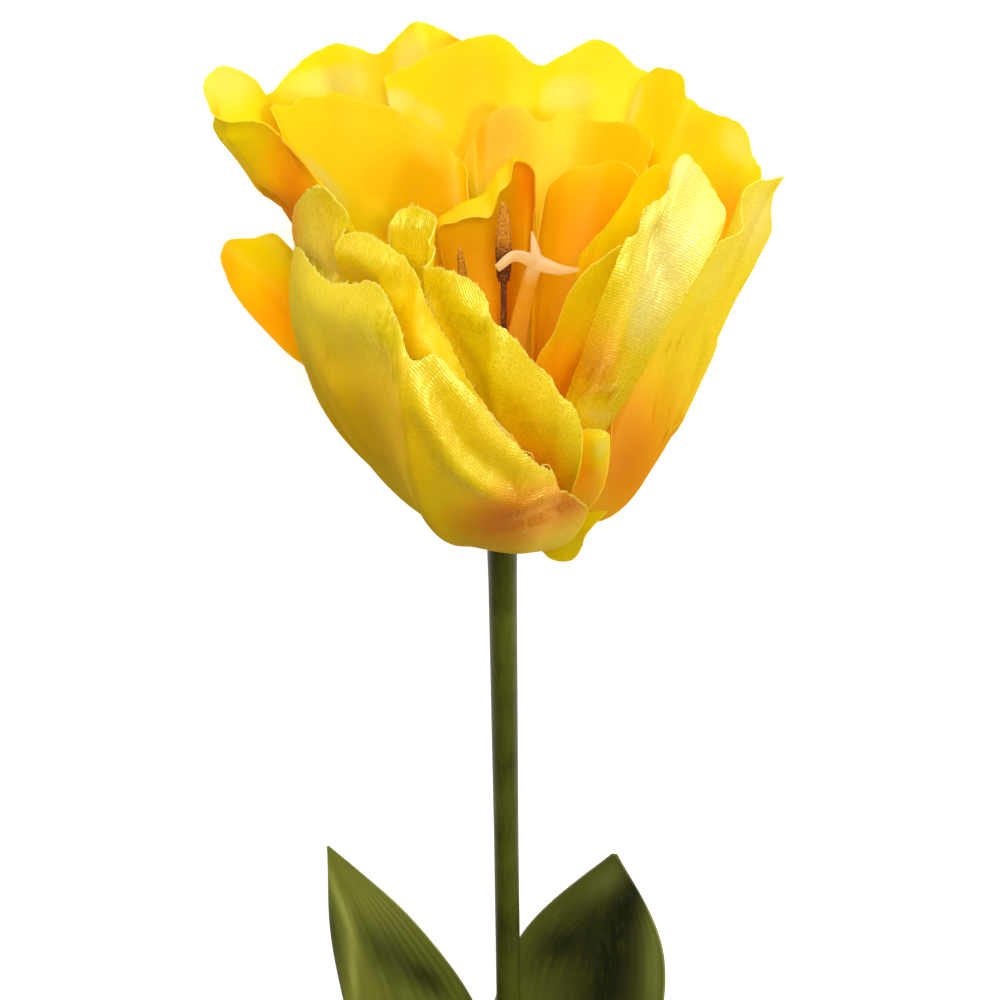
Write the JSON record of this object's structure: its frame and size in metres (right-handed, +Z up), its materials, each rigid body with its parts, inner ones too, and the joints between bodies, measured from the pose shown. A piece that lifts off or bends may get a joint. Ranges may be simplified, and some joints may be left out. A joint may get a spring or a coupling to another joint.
{
  "type": "artificial double tulip flower",
  "caption": "Yellow satin double tulip on a coated stem with long leaves, lying on its back.",
  "frame": {"origin": "on the surface that the flower lies on, under the middle of its box", "axes": "+Y along the lying stem towards the bloom, +Z up from the surface, +X to the bloom's right as the camera saw it"},
  "size_m": [0.0815, 0.3066, 0.0832],
  "materials": {
    "petals": "yellow polyester satin with orange shading towards the foot",
    "stem": "olive plastic coating over wire",
    "leaves": "green polyester cloth, pressed with veins",
    "stamens": "dark orange-brown, flocked",
    "pistil": "translucent peach plastic"
  },
  "bodies": {
    "root": {"petal_front_outer": "petals", "petal_front_left": "petals", "petal_front_middle": "petals", "petal_front_right": "petals", "petal_left_curled": "petals", "petal_left_low": "petals", "petal_back_left": "petals", "petal_back": "petals", "petal_back_right": "petals", "petal_inner_left": "petals", "petal_inner_back": "petals", "petal_inner_right": "petals", "petal_centre": "petals", "petal_right_middle": "petals", "petal_right_shiny": "petals", "petal_right_rolled": "petals", "petal_right_low": "petals", "petal_low_right": "petals", "petal_hanging_tip": "petals", "stem": "stem", "leaf_left": "leaves", "leaf_right": "leaves", "stamens": "stamens", "pistil": "pistil"}
  },
  "joints": []
}
